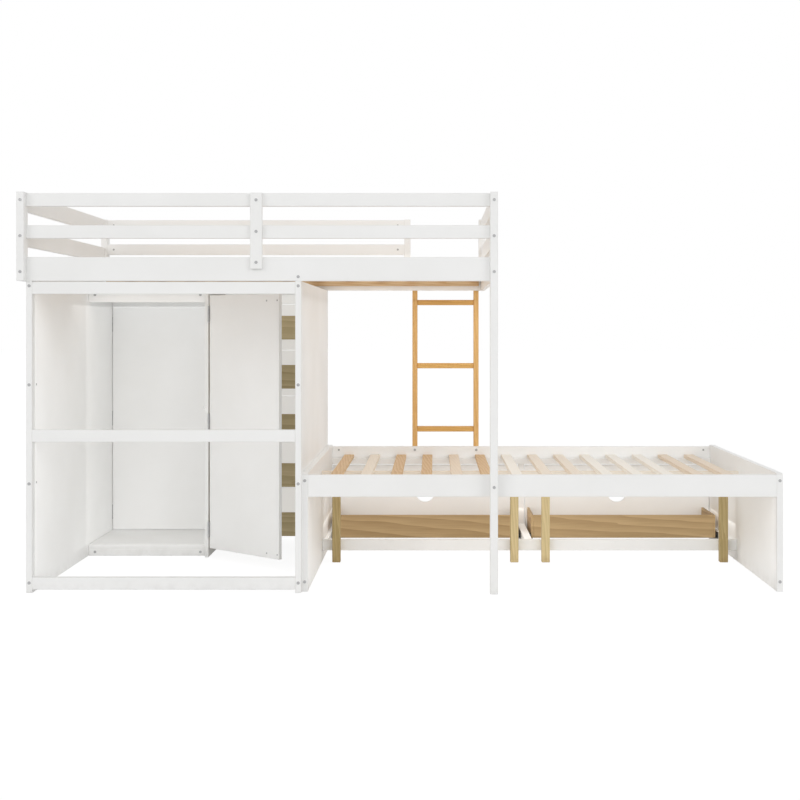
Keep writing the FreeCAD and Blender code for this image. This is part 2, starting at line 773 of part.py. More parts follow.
failed = [piece.Label for piece in doc.Objects if "Invalid" in piece.State or "Error" in piece.State]
empty = [label for label, piece in nodes.items() if piece.Shape.isNull() or not piece.Shape.isValid()]
if failed or empty:
    raise RuntimeError(f"failed: {failed}, not valid: {empty}")

os.makedirs("parts", exist_ok=True)
for label, piece in nodes.items():
    piece.Shape.exportStep(f"parts/{label}.step")
print(len(nodes), "sub-parts,", sum(len(piece.Shape.Solids) for piece in nodes.values()), "solids")
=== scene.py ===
# %% [markdown]
# # A bunk bed over a wardrobe, with a low bed beside it
# This lesson dresses a bed that is already built as a solid model. The boards, hinges, drawers
# and rollers come in as a fixed frame, in metres, and stay where they are. What is left to do is
# what a finisher does in the workshop: paint, bare wood, metal and plastic, and the small screws.

# %% Load the built frame
import math

import bmesh
import bpy
from mathutils import Matrix, Vector


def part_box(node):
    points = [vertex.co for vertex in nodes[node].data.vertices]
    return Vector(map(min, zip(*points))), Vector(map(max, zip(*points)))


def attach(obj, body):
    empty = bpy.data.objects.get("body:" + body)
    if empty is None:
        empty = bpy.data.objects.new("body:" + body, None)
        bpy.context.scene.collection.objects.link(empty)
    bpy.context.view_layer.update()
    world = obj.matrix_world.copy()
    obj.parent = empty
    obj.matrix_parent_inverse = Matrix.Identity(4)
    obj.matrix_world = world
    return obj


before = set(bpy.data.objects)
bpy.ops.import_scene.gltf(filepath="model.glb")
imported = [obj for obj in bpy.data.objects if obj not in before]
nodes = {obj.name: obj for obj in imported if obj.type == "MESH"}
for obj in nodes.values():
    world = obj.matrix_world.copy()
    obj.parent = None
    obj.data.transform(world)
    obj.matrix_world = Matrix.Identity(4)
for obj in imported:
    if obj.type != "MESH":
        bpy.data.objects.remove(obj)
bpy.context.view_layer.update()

# %% [markdown]
# ## The camera
# The photograph looks straight at the wall side of the bed, so all boards that run away from us
# meet in one point. That point is not in the middle of the picture. The camera stays level, and
# the lens is shifted instead of turning the camera, because turning it would make the posts lean.

# %% Camera at the photograph's place
IMAGE_SIDE = 800
VANISHING_POINT = (433.5, 329)
METRES_PER_PIXEL = 0.00415
EYE_DISTANCE = 5.740
EYE_OFFSET = 0.1337
EYE_HEIGHT = 1.1018
SENSOR_WIDTH = 36.0
FAR_CLIP = 200

post_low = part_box("bunk_tall_post")[0]
lens = bpy.data.cameras.new("photo_lens")
lens.sensor_width = SENSOR_WIDTH
lens.lens = SENSOR_WIDTH * EYE_DISTANCE / METRES_PER_PIXEL / IMAGE_SIDE
lens.shift_x = (IMAGE_SIDE / 2 - VANISHING_POINT[0]) / IMAGE_SIDE
lens.shift_y = (VANISHING_POINT[1] - IMAGE_SIDE / 2) / IMAGE_SIDE
lens.clip_end = FAR_CLIP
camera = bpy.data.objects.new("photo_camera", lens)
camera.location = (EYE_OFFSET, post_low.y - EYE_DISTANCE, EYE_HEIGHT)
camera.rotation_euler = (math.radians(90), 0, 0)
bpy.context.collection.objects.link(camera)
bpy.context.scene.camera = camera
print("lens", round(lens.lens, 1), "mm, shift", round(lens.shift_x, 3), round(lens.shift_y, 3))

# %% [markdown]
# ## Helpers for shader nodes
# A material is a small network of nodes. One helper adds a node and fills its sockets, each with
# a plain value or with another node's output. The others are short names for the nodes that the
# cells below use again and again: sums, ranges, noise and mixed colours. A node group is an effect
# that more than one material uses, so its inputs and outputs get names.

# %% Add and join shader nodes
def add(tree, kind, sockets=None, **settings):
    """A new node with these settings. A socket takes a value, or another node's output."""
    made = tree.nodes.new("ShaderNode" + kind)
    for name, value in settings.items():
        setattr(made, name, value)
    for key, value in (sockets or {}).items():
        if isinstance(value, bpy.types.NodeSocket):
            tree.links.new(value, made.inputs[key])
        else:
            made.inputs[key].default_value = value
    return made


def maths(tree, operation, first, second=0.0, clamp=False):
    """One sum of two numbers."""
    sockets = {0: first, 1: second}
    return add(tree, "Math", sockets, operation=operation, use_clamp=clamp).outputs[0]


def vectors(tree, operation, first, second):
    """One sum of two vectors."""
    return add(tree, "VectorMath", {0: first, 1: second}, operation=operation).outputs[0]


def fade(tree, value, low, high, to_low=0.0, to_high=1.0):
    """A value spread from one range to another, kept inside it."""
    sockets = {"Value": value, "From Min": low, "From Max": high,
               "To Min": to_low, "To Max": to_high}
    return add(tree, "MapRange", sockets, clamp=True).outputs["Result"]


def noise(tree, place, scale, detail):
    """Cloudy noise, from 0 to 1."""
    sockets = {"Vector": place, "Scale": scale, "Detail": detail}
    return add(tree, "TexNoise", sockets).outputs["Fac"]


def blend(tree, share, first, second):
    """Two colours mixed by a share."""
    sockets = {0: share, 6: first, 7: second}
    return add(tree, "Mix", sockets, data_type="RGBA", clamp_factor=True).outputs[2]


print("node helpers ready")

# %% Node groups, colours and new materials
def new_group(name, inputs, outputs):
    """An empty node group with named inputs and outputs."""
    group = bpy.data.node_groups.new(name, "ShaderNodeTree")
    for title, (kind, value) in inputs.items():
        socket = group.interface.new_socket(title, in_out="INPUT", socket_type="NodeSocket" + kind)
        socket.default_value = value
    for title, kind in outputs.items():
        group.interface.new_socket(title, in_out="OUTPUT", socket_type="NodeSocket" + kind)
    inside = group.nodes
    return group, inside.new("NodeGroupInput").outputs, inside.new("NodeGroupOutput").inputs


def use_group(tree, group, sockets):
    """A node group placed in a material, with its own values."""
    return add(tree, "Group", sockets, node_tree=group).outputs


def colour(red, green, blue):
    """A colour as a painter reads it from a screen, 0 to 255, turned to the light it reflects."""
    def light(value):
        share = value / 255
        return share / 12.92 if share <= 0.04045 else ((share + 0.055) / 1.055) ** 2.4
    return (light(red), light(green), light(blue), 1.0)


def new_material(name):
    """A new material, with its nodes, its main shader and the places on the surface."""
    material = bpy.data.materials.new(name)
    material.use_nodes = True
    tree = material.node_tree
    return material, tree, tree.nodes["Principled BSDF"], add(tree, "TexCoord").outputs


def raise_skin(tree, skin, height, strength, distance):
    """A fine bump on a shader."""
    bump = add(tree, "Bump", {"Strength": strength, "Distance": distance, "Height": height})
    tree.links.new(bump.outputs["Normal"], skin.inputs["Normal"])


print("material helpers ready")

# %% [markdown]
# ## Eased edges and scuffs
# Every board has its edges eased with a small flat. Paint is thin there and hands rub it, so it
# looks a little duller than the faces. The flats lean, so a face that does not look straight
# along X, Y or Z is an eased edge: the largest part of its normal tells. Near the floor, shoes and
# the broom leave a faint grey. Both are in one group, because every finish on the bed uses them.

# %% A group for wear on edges and near the floor
LEANING, STRAIGHT = 0.80, 0.95
RUB_SCALE, STREAK_SCALE = 9.0, 26.0

wear, wear_in, wear_out = new_group(
    "board_wear",
    {"Place": ("Vector", (0, 0, 0)), "Normal": ("Vector", (0, 0, 1)),
     "Scuff Height": ("Float", 0.05)},
    {"Edge": "Float", "Scuff": "Float"},
)
unsigned = vectors(wear, "ABSOLUTE", wear_in["Normal"], (0, 0, 0))
facing = add(wear, "SeparateXYZ", {0: unsigned}).outputs
steepest = maths(wear, "MAXIMUM", maths(wear, "MAXIMUM", facing[0], facing[1]), facing[2])
eased = fade(wear, steepest, LEANING, STRAIGHT, 1.0, 0.0)
rubbing = noise(wear, wear_in["Place"], RUB_SCALE, 4.0)
rubbed = fade(wear, rubbing, 0.35, 0.65, 0.35, 1.0)
wear.links.new(maths(wear, "MULTIPLY", eased, rubbed), wear_out["Edge"])

height = add(wear, "SeparateXYZ", {0: wear_in["Place"]}).outputs[2]
raised = maths(wear, "DIVIDE", height, wear_in["Scuff Height"])
low_down = maths(wear, "SUBTRACT", 1.0, raised, clamp=True)
streaks = fade(wear, noise(wear, wear_in["Place"], STREAK_SCALE, 5.0), 0.4, 0.7)
wear.links.new(maths(wear, "MULTIPLY", low_down, streaks), wear_out["Scuff"])
print("group", wear.name, "with", len(wear.nodes), "nodes")

# %% [markdown]
# ## Grain
# Sawn wood shows three things: the year rings as long bands, fine fibres between them, and here
# and there a knot. All three are long in one direction, so the group takes a place whose X runs
# along the grain and squeezes it before it draws. A number for each board shifts the pattern, as
# no two boards come from the same part of the tree.

# %% A group for sawn wood
BOARD_SHIFT = (7.3, 3.1, 5.7)
RING_SQUEEZE = (0.07, 1.0, 1.0)
FIBRE_SQUEEZE = (7.0, 420.0, 420.0)
KNOT_SQUEEZE = (2.6, 9.0, 9.0)
KNOT_HEART, KNOT_RIM = 0.05, 0.17
RING_RELIEF = 0.45

grain, grain_in, grain_out = new_group(
    "sawn_grain",
    {"Along": ("Vector", (0, 0, 0)), "Board": ("Float", 0.0),
     "Rings": ("Float", 40.0), "Knots": ("Float", 0.5)},
    {"Ring": "Float", "Fibre": "Float", "Knot": "Float", "Height": "Float"},
)
board_number = add(grain, "CombineXYZ", dict.fromkeys(range(3), grain_in["Board"])).outputs[0]
board_shift = vectors(grain, "MULTIPLY", board_number, BOARD_SHIFT)
board_place = vectors(grain, "ADD", grain_in["Along"], board_shift)
ring_place = vectors(grain, "MULTIPLY", board_place, RING_SQUEEZE)
rings = add(grain, "TexWave",
            {"Vector": ring_place, "Scale": grain_in["Rings"], "Distortion": 7.0, "Detail": 3.0,
             "Detail Scale": 0.7, "Detail Roughness": 0.55},
            wave_type="BANDS", bands_direction="DIAGONAL", wave_profile="SAW").outputs["Fac"]
fibre_place = vectors(grain, "MULTIPLY", board_place, FIBRE_SQUEEZE)
fibres = add(grain, "TexNoise", {"Vector": fibre_place, "Scale": 1.0, "Detail": 4.0,
                                 "Roughness": 0.6}).outputs["Fac"]
knot_place = vectors(grain, "MULTIPLY", board_place, KNOT_SQUEEZE)
knot_cells = add(grain, "TexVoronoi", {"Vector": knot_place, "Scale": 1.0, "Randomness": 1.0},
                 feature="F1").outputs
picked = add(grain, "SeparateColor", {0: knot_cells["Color"]}).outputs[0]
chosen = maths(grain, "LESS_THAN", picked, grain_in["Knots"])
knot_disc = fade(grain, knot_cells["Distance"], KNOT_HEART, KNOT_RIM, 1.0, 0.0)
knot = maths(grain, "MULTIPLY", knot_disc, chosen)
relief = maths(grain, "ADD", maths(grain, "MULTIPLY", rings, RING_RELIEF), fibres)
for title, value in (("Ring", rings), ("Fibre", fibres), ("Knot", knot), ("Height", relief)):
    grain.links.new(value, grain_out[title])
print("group", grain.name, "with", len(grain.nodes), "nodes")

# %% [markdown]
# ## White paint
# The boards are painted white and rolled, which leaves a faint skin like fine orange peel and a
# little variation in shine. A flat white would look like plastic, so the paint gets a soft mottle,
# a bump far below a millimetre, duller edges and the scuffs near the floor. One door stands open
# at an angle, so its own copy of the paint turns the normals back before it looks for eased edges.

# %% Paint for the boards
WHITE_PAINT = colour(246, 246, 245)
SHADED_PAINT = colour(239, 239, 237)
EDGE_PAINT = colour(226, 225, 221)
SCUFF_GREY = colour(176, 172, 165)
MOTTLE_SCALE, PEEL_SCALE = 3.5, 420.0
PAINT_SCUFF_HEIGHT = 0.06
PAINT_EDGE_SHARE, PAINT_SCUFF_SHARE = 0.55, 0.18
EDGE_DULLNESS = 0.12
PEEL_STRENGTH, PEEL_DEPTH = 0.12, 0.0006


def white_paint(name, turned=0.0):
    """Rolled white paint. The angle is how far a piece stands turned about Z."""
    material, tree, skin, place = new_material(name)
    normal = place["Normal"]
    if turned:
        normal = add(tree, "VectorRotate", {"Vector": normal, "Angle": turned},
                     rotation_type="Z_AXIS").outputs[0]
    marks = use_group(tree, wear, {"Place": place["Object"], "Normal": normal,
                                   "Scuff Height": PAINT_SCUFF_HEIGHT})
    mottle = noise(tree, place["Object"], MOTTLE_SCALE, 5.0)
    peel = noise(tree, place["Object"], PEEL_SCALE, 2.0)
    base = blend(tree, fade(tree, mottle, 0.35, 0.7, 0.0, 0.5), WHITE_PAINT, SHADED_PAINT)
    worn = maths(tree, "MULTIPLY", marks["Edge"], PAINT_EDGE_SHARE)
    scuffed = maths(tree, "MULTIPLY", marks["Scuff"], PAINT_SCUFF_SHARE)
    base = blend(tree, scuffed, blend(tree, worn, base, EDGE_PAINT), SCUFF_GREY)
    tree.links.new(base, skin.inputs["Base Color"])
    duller = maths(tree, "MULTIPLY", marks["Edge"], EDGE_DULLNESS)
    shine = maths(tree, "ADD", fade(tree, mottle, 0.3, 0.7, 0.42, 0.54), duller)
    tree.links.new(shine, skin.inputs["Roughness"])
    raise_skin(tree, skin, peel, PEEL_STRENGTH, PEEL_DEPTH)
    return material


REAR_DOOR_ANGLE = math.radians(42.2)
paint = white_paint("white_paint")
rear_door_paint = white_paint("rear_door_paint", REAR_DOOR_ANGLE)
print("made", paint.name, "and", rear_door_paint.name)

# %% [markdown]
# ## Bare and oiled wood
# The slats, the bunk's cleats, the beam, the legs and the wooden runners are bare pine, the ladder
# is oiled and warmer, and the drawer trays are plywood. They differ in colour, ring width and
# knots, so one function makes them all from the grain group. The grain runs along each board: the
# function takes the axis that it follows, and the spacing of the boards in a row, from which it
# works out a number for each board. That number also makes one board of a row darker or paler than
# the next. Another first number gives a row other tones, so the slats and the legs got first
# numbers whose tones are like the pictured ones.

# %% Wood along a chosen axis
AXES = {"X": (0, 1, 2), "Y": (1, 0, 2), "Z": (2, 1, 0)}
PALE_WOOD = colour(247, 241, 230)
PALE_SPREAD = 0.7
WOOD_SPECULAR = 0.3
WOOD_SCUFF_HEIGHT = 0.04
RING_SHARE, FIBRE_SHARE, KNOT_SHARE = 0.55, 0.45, 0.8
WOOD_EDGE_SHARE, WOOD_SCUFF_SHARE = 0.35, 0.4
SHINE_SPREAD = 0.08
GRAIN_STRENGTH, GRAIN_DEPTH = 0.25, 0.0005
BOARD_NUMBERS = 9.0


def board_chance(tree, parts, row):
    """A number from 0 to 1 for each board of a row: its axis, first place, spacing and number."""
    axis, first, spacing, start = row
    along_row = maths(tree, "SUBTRACT", parts["XYZ".index(axis)], first)
    steps = maths(tree, "FLOOR", maths(tree, "DIVIDE", along_row, spacing))
    count = maths(tree, "ADD", steps, start)
    return add(tree, "TexWhiteNoise", {"W": count}, noise_dimensions="1D").outputs["Value"]


def wood(name, light, dark, knot_tone, along, rings=40.0, knots=0.15, row=None, roughness=0.55,
         figure=1.0, paler_along_x=None, spread=0.14):
    """Sawn wood with its grain along an axis, for one board or for a row of them.

    Where asked, the wood turns towards a pale tone between two places along X, by two shares.
    The spread is how far the boards of a row differ from each other.
    """
    material, tree, skin, place = new_material(name)
    skin.inputs["Specular IOR Level"].default_value = WOOD_SPECULAR
    parts = add(tree, "SeparateXYZ", {0: place["Object"]}).outputs
    turned_parts = {number: parts[part] for number, part in enumerate(AXES[along])}
    turned = add(tree, "CombineXYZ", turned_parts).outputs[0]
    chance = board_chance(tree, parts, row) if row else None
    board = maths(tree, "MULTIPLY", chance, BOARD_NUMBERS) if row else 0.0
    sawn = use_group(tree, grain, {"Along": turned, "Board": board, "Rings": rings, "Knots": knots})
    marks = use_group(tree, wear, {"Place": place["Object"], "Normal": place["Normal"],
                                   "Scuff Height": WOOD_SCUFF_HEIGHT})

    fibre = fade(tree, sawn["Fibre"], 0.3, 0.75)
    share = maths(tree, "ADD", maths(tree, "MULTIPLY", sawn["Ring"], RING_SHARE * figure),
                  maths(tree, "MULTIPLY", fibre, FIBRE_SHARE * figure))
    if row:
        share = maths(tree, "ADD", share, fade(tree, chance, 0.0, 1.0, -spread, spread), clamp=True)
    base = blend(tree, share, light, dark)
    base = blend(tree, maths(tree, "MULTIPLY", sawn["Knot"], KNOT_SHARE), base, knot_tone)
    if paler_along_x:
        # The wood grows paler along X between two places, and in a row some boards more than
        # others.
        pale = fade(tree, parts[0], *paler_along_x)
        if row:
            paler = fade(tree, chance, 0.0, 1.0, PALE_SPREAD, -PALE_SPREAD)
            pale = maths(tree, "ADD", pale, paler, clamp=True)
        base = blend(tree, pale, base, PALE_WOOD)
    base = blend(tree, maths(tree, "MULTIPLY", marks["Edge"], WOOD_EDGE_SHARE), base, dark)
    base = blend(tree, maths(tree, "MULTIPLY", marks["Scuff"], WOOD_SCUFF_SHARE), base, knot_tone)
    tree.links.new(base, skin.inputs["Base Color"])
    shine = fade(tree, sawn["Fibre"], 0.2, 0.8, roughness + SHINE_SPREAD, roughness - SHINE_SPREAD)
    tree.links.new(shine, skin.inputs["Roughness"])
    raise_skin(tree, skin, sawn["Height"], GRAIN_STRENGTH, GRAIN_DEPTH)
    return material


print("wood ready")

# %% The pine of the beds
PINE = (colour(232, 203, 160), colour(198, 156, 108), colour(128, 84, 46))
CLEAT_PINE = (colour(226, 200, 162), colour(190, 154, 112), PINE[2])
LEG_PINE = (colour(215, 196, 150), colour(172, 151, 103), PINE[2])
BED_SLAT_PITCH = 0.136
BUNK_CLEAR, BUNK_SLATS = 1.936, 12
BUNK_SLAT_PITCH = BUNK_CLEAR / BUNK_SLATS
SLAT_MARGIN = 0.03
ROW_START = -2.0
CLEAT_SPACING, RUNNER_SPACING, LEG_SPACING = 0.4, 0.12, 0.1
FIRST_SLAT, FIRST_LEG = 249, 156
SLAT_PALE_SPAN = (-0.3, 1.0, 0.0, 0.72)
BEAM_PALE_SPAN = (-0.3, 1.5, 0.78, 0.9)
LEG_SPREAD = 0.45

bed_slat_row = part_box("bed_slats")[0].x - SLAT_MARGIN
bunk_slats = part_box("bunk_slats")
bunk_slat_row = bunk_slats[1].x + SLAT_MARGIN - (BUNK_SLATS + 1) * BUNK_SLAT_PITCH
bed_slat_pine = wood("bed_slat_pine", *PINE, "Y", paler_along_x=SLAT_PALE_SPAN,
                     row=("X", bed_slat_row, BED_SLAT_PITCH, FIRST_SLAT))
bunk_slat_pine = wood("bunk_slat_pine", *PINE, "Y", row=("X", bunk_slat_row, BUNK_SLAT_PITCH, 0))
long_pine = wood("long_pine", *CLEAT_PINE, "X", row=("Y", ROW_START, CLEAT_SPACING, 0))
beam_pine = wood("beam_pine", *PINE, "X", paler_along_x=BEAM_PALE_SPAN)
runner_pine = wood("runner_pine", *PINE, "Y", row=("Z", 0.0, RUNNER_SPACING, 0))
leg_pine = wood("leg_pine", *LEG_PINE, "Z", row=("X", ROW_START, LEG_SPACING, FIRST_LEG),
                spread=LEG_SPREAD)
print("made six kinds of pine")

# %% The ladder's wood
RAIL_WOOD = (colour(234, 192, 127), colour(208, 157, 94), colour(140, 80, 34))
RUNG_WOOD = (colour(232, 187, 114), colour(204, 151, 80), RAIL_WOOD[2])
RAIL_ROW, RAIL_SPACING = -0.1, 0.3
RUNG_ROW, RUNG_PITCH = 0.4, 0.331
OILED = {"knots": 0.1, "roughness": 0.42}

ladder_rail_wood = wood("ladder_rail_wood", *RAIL_WOOD, "Z",
                        row=("X", RAIL_ROW, RAIL_SPACING, 0), **OILED)
rung_wood = wood("rung_wood", *RUNG_WOOD, "X", row=("Z", RUNG_ROW, RUNG_PITCH, 0), **OILED)
print("made", ladder_rail_wood.name, "and", rung_wood.name)

# %% [markdown]
# ## Plywood trays
# The drawer trays are plywood: a brown face veneer with broad, flowing figure, and on the top
# edges the plies, thin light and dark lines. The face grain runs level on every wall, so the
# pattern has to turn with the wall: where a face looks along X its length is Y, elsewhere it is X.
# The plies follow each wall round the tray, so the lines are drawn by how deep a place lies in
# the wall.

# %% Plywood with plies on its edges
PLY_KNOT = colour(104, 74, 40)
WALL = 0.0125
PLY_THICK = 0.0024
PLY_LINES = 0.8
FACING_SHARE = 0.5


def find_node(tree, kind, group=None):
    """The first node of a kind, or the node that holds a group."""
    return next(piece for piece in tree.nodes if piece.bl_idname == "ShaderNode" + kind
                and (group is None or piece.node_tree == group))


def depth_in_wall(tree, parts, tray, row):
    """How far a place lies from a tray's outside, seen from above."""
    low, high = tray
    width = high.x - low.x
    repeat = row[2] if row[0] == "X" else 2 * width
    across = maths(tree, "FLOORED_MODULO", maths(tree, "SUBTRACT", parts[0], low.x), repeat)
    from_side = maths(tree, "MINIMUM", across, maths(tree, "SUBTRACT", width, across))
    from_back = maths(tree, "SUBTRACT", parts[1], low.y)
    from_front = maths(tree, "SUBTRACT", high.y, parts[1])
    from_end = maths(tree, "MINIMUM", from_back, from_front)
    return maths(tree, "MINIMUM", from_side, from_end)


def plywood(name, light, dark, tray, row):
    """Brown plywood for a row of trays, of which one fills the given box."""
    material = wood(name, light, dark, PLY_KNOT, "X", rings=16.0, knots=0.05, row=row,
                    roughness=0.5, figure=0.95)
    tree = material.node_tree
    place = find_node(tree, "TexCoord").outputs
    parts = add(tree, "SeparateXYZ", {0: place["Object"]}).outputs
    facing = add(tree, "SeparateXYZ", {0: place["Normal"]}).outputs
    sideways = maths(tree, "GREATER_THAN", maths(tree, "ABSOLUTE", facing[0]), FACING_SHARE)
    along_wall = add(tree, "CombineXYZ", {0: parts[1], 1: parts[2], 2: parts[0]}).outputs[0]
    along_back = add(tree, "CombineXYZ", {0: parts[0], 1: parts[2], 2: parts[1]}).outputs[0]
    level = add(tree, "Mix", {0: sideways, 4: along_back, 5: along_wall},
                data_type="VECTOR").outputs[1]
    tree.links.new(level, find_node(tree, "Group", grain).inputs["Along"])

    depth = depth_in_wall(tree, parts, tray, row)
    upward = maths(tree, "GREATER_THAN", facing[2], FACING_SHARE)
    top_edge = maths(tree, "MULTIPLY", maths(tree, "LESS_THAN", depth, WALL), upward)
    ply = maths(tree, "PINGPONG", maths(tree, "DIVIDE", depth, PLY_THICK), 1.0)
    plies = blend(tree, fade(tree, ply, 0.35, 0.65), light, dark)
    skin = tree.nodes["Principled BSDF"]
    face = skin.inputs["Base Color"].links[0].from_socket
    edged = blend(tree, maths(tree, "MULTIPLY", top_edge, PLY_LINES), face, plies)
    tree.links.new(edged, skin.inputs["Base Color"])
    return material


print("plywood ready")

# %% The trays' plywood
STACK_PLY = (colour(200, 184, 146), colour(158, 142, 104))
BED_PLY = (colour(200, 172, 130), colour(154, 126, 84))
STACK_PITCH = 0.239

stack_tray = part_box("stack_drawer_5_box")
left_tray, right_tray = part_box("bed_drawer_left_box"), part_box("bed_drawer_right_box")
tray_pitch = right_tray[0].x - left_tray[0].x
stack_plywood = plywood("stack_plywood", *STACK_PLY, stack_tray, ("Z", 0.0, STACK_PITCH, 0))
bed_plywood = plywood("bed_plywood", *BED_PLY, left_tray, ("X", left_tray[0].x, tray_pitch, 0))
print("made", stack_plywood.name, "and", bed_plywood.name)

# %% [markdown]
# ## Metal and plastic
# The bolts have plated heads, the hinges and the drawer runners plain plated steel, the rollers
# black moulded plastic, and small grey caps close the nut holes. Metal needs fine scratches in its
# shine, and moulded plastic a fine grain. One function serves them all, because only the numbers
# differ.

# %% Metal and plastic finishes
HARD_SCUFF_HEIGHT = 0.03
BROAD_SHARE = 0.08
WORN_SHARE = 0.4
HARD_STRENGTH = 0.2


def hard_finish(name, tone, worn_tone, metallic, shine, texture_scale, depth):
    """A hard surface: a tone that varies a little, scratches or grain in its shine, and a bump."""
    material, tree, skin, place = new_material(name)
    skin.inputs["Metallic"].default_value = metallic
    marks = use_group(tree, wear, {"Place": place["Object"], "Normal": place["Normal"],
                                   "Scuff Height": HARD_SCUFF_HEIGHT})
    fine = noise(tree, place["Object"], texture_scale, 4.0)
    broad = noise(tree, place["Object"], texture_scale * BROAD_SHARE, 3.0)
    base = blend(tree, fade(tree, broad, 0.35, 0.7, 0.0, 0.45), tone, worn_tone)
    base = blend(tree, maths(tree, "MULTIPLY", marks["Edge"], WORN_SHARE), base, worn_tone)
    tree.links.new(base, skin.inputs["Base Color"])
    tree.links.new(fade(tree, fine, 0.3, 0.7, *shine), skin.inputs["Roughness"])
    raise_skin(tree, skin, fine, HARD_STRENGTH, depth)
    return material


bolt_steel = hard_finish("bolt_steel", colour(176, 176, 177), colour(204, 204, 203),
                         metallic=0.45, shine=(0.3, 0.48), texture_scale=900.0, depth=0.0001)
hinge_steel = hard_finish("hinge_steel", colour(168, 168, 170), colour(196, 196, 196),
                          metallic=0.9, shine=(0.25, 0.42), texture_scale=700.0, depth=0.0001)
black_plastic = hard_finish("black_plastic", colour(34, 34, 35), colour(58, 58, 59),
                            metallic=0.0, shine=(0.45, 0.62), texture_scale=1200.0, depth=0.0002)
cap_plastic = hard_finish("cap_plastic", colour(168, 168, 166), colour(190, 190, 188),
                          metallic=0.0, shine=(0.4, 0.55), texture_scale=1200.0, depth=0.0001)
print("made four hard finishes")

# %% [markdown]
# ## Each board gets its finish
# A solid from the model keeps its shape and gets a material of its own. Most boards are painted,
# so paint is the rule. One table holds the pieces that differ, and another the kinds of piece that
# can be told by how their names end.

# %% Put the finishes on the boards
finishes = {
    "bed_slats": bed_slat_pine,
    "bunk_slats": bunk_slat_pine,
    "bunk_slat_cleats": long_pine,
    "bed_centre_beam": beam_pine,
    "bed_centre_legs": leg_pine,
    "stack_runners": runner_pine,
    "ladder_rails": ladder_rail_wood,
    "ladder_rungs": rung_wood,
    "rear_door": rear_door_paint,
    "bolt_heads": bolt_steel,
    "nut_caps": cap_plastic,
}
kinds = (
    ("stack", "box", stack_plywood),
    ("bed_drawer", "box", bed_plywood),
    ("bed_drawer", "rollers", black_plastic),
    ("bed_drawer", "axles", hinge_steel),
    ("bed_drawer", "runners", hinge_steel),
)
for name, piece in nodes.items():
    finish = finishes.get(name, paint)
    if "hinge" in name:
        finish = hinge_steel
    for start, end, kind_finish in kinds:
        if name.startswith(start) and name.endswith(end):
            finish = kind_finish
    piece.data.materials.clear()
    piece.data.materials.append(finish)
print("finished", len(nodes), "nodes")

# %% [markdown]
# ## Screws in the open door
# Four small screw heads show near the free edge of the open door, two at the top and two at the
# bottom. A head is a low turned button with a rounded rim and a round recess for the driver. It is
# made at the origin as a cone with its top inset and pushed down and its rim beveled. Then it is
# carried to the door's face. The door stands open, so the face is found from its hinge line and
# the angle.

# %% One screw head
HEAD_RADIUS = 0.0042
HEAD_RISE = 0.0016
HEAD_SIDES = 32
TOP_SHARE = 0.86
RECESS_SHARE, RECESS_DEPTH_SHARE = 0.4, 0.5
RIM_SHARE, RIM_STEPS = 0.25, 3
OUTSIDE_RECESS = 0.7
LEVEL_TOLERANCE = 1e-6


def on_rim(edge):
    """Whether an edge lies on the outer rim of the head that stands at the origin."""
    level = all(abs(vert.co.z - HEAD_RISE) < LEVEL_TOLERANCE for vert in edge.verts)
    reach = [vert.co.xy.length for vert in edge.verts]
    return level and max(reach) < 2 * HEAD_RADIUS and min(reach) > HEAD_RADIUS * OUTSIDE_RECESS


def screw_head(shape, where):
    """One screw head added to a mesh, made looking up and then carried to its place."""
    head = bmesh.ops.create_cone(shape, cap_ends=True, segments=HEAD_SIDES, radius1=HEAD_RADIUS,
                                 radius2=HEAD_RADIUS * TOP_SHARE, depth=HEAD_RISE,
                                 matrix=Matrix.Translation((0, 0, HEAD_RISE / 2)))["verts"]
    faces = {face for vert in head for face in vert.link_faces}
    top = max(faces, key=lambda face: face.calc_center_median().z)
    bmesh.ops.inset_region(shape, faces=[top], thickness=HEAD_RADIUS * RECESS_SHARE)
    bmesh.ops.translate(shape, verts=top.verts, vec=(0, 0, -HEAD_RISE * RECESS_DEPTH_SHARE))
    rim = [edge for edge in shape.edges if on_rim(edge)]
    bmesh.ops.bevel(shape, geom=rim, offset=HEAD_RISE * RIM_SHARE, affect="EDGES",
                    segments=RIM_STEPS, profile=0.5, material=-1)
    near = [vert for vert in shape.verts if vert.co.length < 3 * HEAD_RADIUS]
    bmesh.ops.transform(shape, matrix=where, verts=near)


def mesh_object(name, shape):
    """A new object from a finished mesh under construction."""
    mesh = bpy.data.meshes.new(name)
    shape.to_mesh(mesh)
    shape.free()
    made = bpy.data.objects.new(name, mesh)
    bpy.context.collection.objects.link(made)
    return made


print("a head is", HEAD_RADIUS * 2, "m wide")

# %% Four screw heads that ride on the door
HINGE_LINE = Vector((-0.950, 0.1539, 0.0))
FACE_DEPTH = 0.0046
SCREW_PLACES = [(0.4185, 0.066), (0.4915, 0.066), (0.4185, 1.233), (0.4915, 1.233)]

at_hinge = Matrix.Translation(HINGE_LINE) @ Matrix.Rotation(-REAR_DOOR_ANGLE, 4, "Z")
look_out = Matrix.Rotation(math.radians(90), 4, "X")
shape = bmesh.new()
for along, height in SCREW_PLACES:
    screw_head(shape, at_hinge @ Matrix.Translation((along, FACE_DEPTH, height)) @ look_out)
bmesh.ops.recalc_face_normals(shape, faces=shape.faces)
screws = mesh_object("rear_door_screws", shape)
screws.data.materials.append(bolt_steel)
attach(screws, "rear_door")
print("screws", len(screws.data.polygons), "faces")

# %% [markdown]
# ## Sky and floor
# The picture has a white ground and very soft light. The world gives most of the light. What the
# camera sees of the world is plain white, brighter than the light that it gives. So is most of the
# floor, which still takes a soft shadow. The Light Path node tells the two uses apart.

# %% A white sky that lights softly
WHITE = (1.0, 1.0, 1.0, 1.0)
SKY_STRENGTH = 0.60


